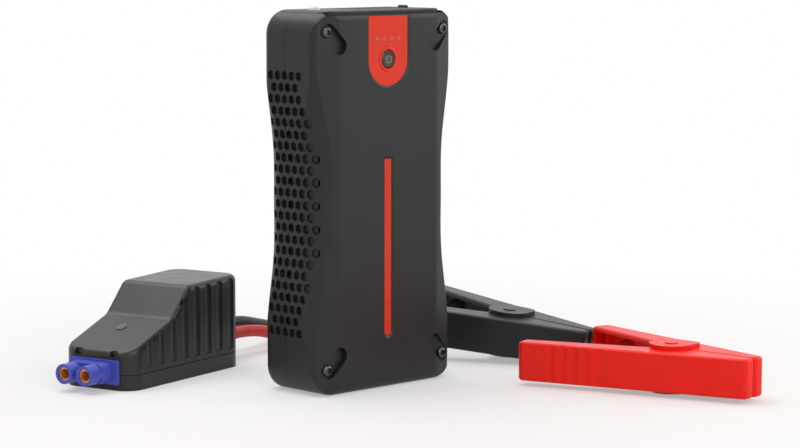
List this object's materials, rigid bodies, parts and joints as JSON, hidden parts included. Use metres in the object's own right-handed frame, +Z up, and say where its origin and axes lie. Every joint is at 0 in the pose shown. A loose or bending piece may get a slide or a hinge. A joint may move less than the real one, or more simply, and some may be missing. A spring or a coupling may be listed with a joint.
{
  "type": "jump starter pack",
  "caption": "Upright portable jump starter pack with a front control panel, a torch and covered sockets on top, and its booster lead set with control box and sprung clamps.",
  "frame": {"origin": "centre of the flat foot under the pack, on the surface it stands on", "axes": "+Z up through the pack, the front face with the control panel looks towards -Y, +X to the right seen from the front"},
  "size_m": [0.2774, 0.3006, 0.1796],
  "materials": {
    "housing": "fine-grained dark grey ABS",
    "cap": "satin dark grey cap",
    "port_rubber": "matt soft rubber",
    "button": "smoked translucent key top",
    "panel_red": "satin red moulding",
    "light_lens": "milky light windows",
    "clear_lens": "clear moulded lens",
    "screw_steel": "nickel-plated steel",
    "contact_brass": "gold-flashed brass",
    "plug_blue": "blue nylon",
    "inner_black": "black moulding",
    "cell_foil": "laminated foil pouch",
    "board_green": "green solder mask",
    "box_plastic": "fine-grained dark grey ABS",
    "lead_red": "silicone insulation",
    "lead_black": "silicone insulation",
    "clamp_red": "satin red nylon",
    "clamp_black": "satin black nylon",
    "jaw_copper": "copper-plated jaw strip",
    "spring_steel": "plated spring wire"
  },
  "bodies": {
    "root": {"accent_stripe": "panel_red", "battery_cell_1": "cell_foil", "battery_cell_2": "cell_foil", "battery_cell_3": "cell_foil", "black_clamp_far_half": "clamp_black", "black_clamp_far_plate": "jaw_copper", "black_clamp_pivot": "clamp_black", "black_clamp_spring": "spring_steel", "black_gland": "lead_black", "black_lead": "lead_black", "black_lead_boot": "lead_black", "board_components": "inner_black", "box_board": "board_green", "box_indicator_lens": "light_lens", "box_lower_cover": "box_plastic", "box_relay": "inner_black", "box_screws": "screw_steel", "box_upper_housing": "box_plastic", "button_board": "board_green", "button_ring": "panel_red", "cell_tray": "inner_black", "charge_lights": "light_lens", "charge_port_shell": "screw_steel", "charge_port_tongue": "inner_black", "control_panel": "panel_red", "front_shell": "housing", "housing_screws": "screw_steel", "main_board": "board_green", "output_pins": "contact_brass", "output_socket": "plug_blue", "plug_body": "plug_blue", "plug_contacts": "contact_brass", "rear_shell": "housing", "red_clamp_far_half": "clamp_red", "red_clamp_far_plate": "jaw_copper", "red_clamp_pivot": "clamp_red", "red_clamp_spring": "spring_steel", "red_gland": "lead_black", "red_lead": "lead_red", "red_lead_boot": "lead_red", "tact_switch": "inner_black", "top_cap": "cap", "torch_board": "board_green", "torch_lens": "clear_lens"},
    "button": {"power_button": "button"},
    "cover": {"port_cover": "port_rubber"},
    "red_near": {"red_clamp_near_half": "clamp_red", "red_clamp_near_plate": "jaw_copper"},
    "black_near": {"black_clamp_near_half": "clamp_black", "black_clamp_near_plate": "jaw_copper"}
  },
  "joints": [
    {"name": "power_press", "type": "slide", "parent": "root", "child": "button", "axis": [0, 1, 0], "range_m": [0, 0.0007], "stiffness_N_per_m": 1500, "springref_m": -0.0005},
    {"name": "cover_open", "type": "hinge", "parent": "root", "child": "cover", "pos_m": [-0.0127, 0, 0.178], "axis": [0, -1, 0], "range_deg": [0, 120]},
    {"name": "red_squeeze", "type": "hinge", "parent": "root", "child": "red_near", "pos_m": [0.0886, -0.118, 0.0117], "axis": [0, 0, -1], "range_deg": [0, 22], "stiffness_Nm_per_rad": 1.2, "springref_deg": -20.05, "deforming": ["red_clamp_spring"]},
    {"name": "black_squeeze", "type": "hinge", "parent": "root", "child": "black_near", "pos_m": [0.0996, -0.0023, 0.01403], "axis": [-0.025, 0.0997, -0.9947], "range_deg": [0, 22], "stiffness_Nm_per_rad": 1.2, "springref_deg": -20.05, "deforming": ["black_clamp_spring"]}
  ]
}
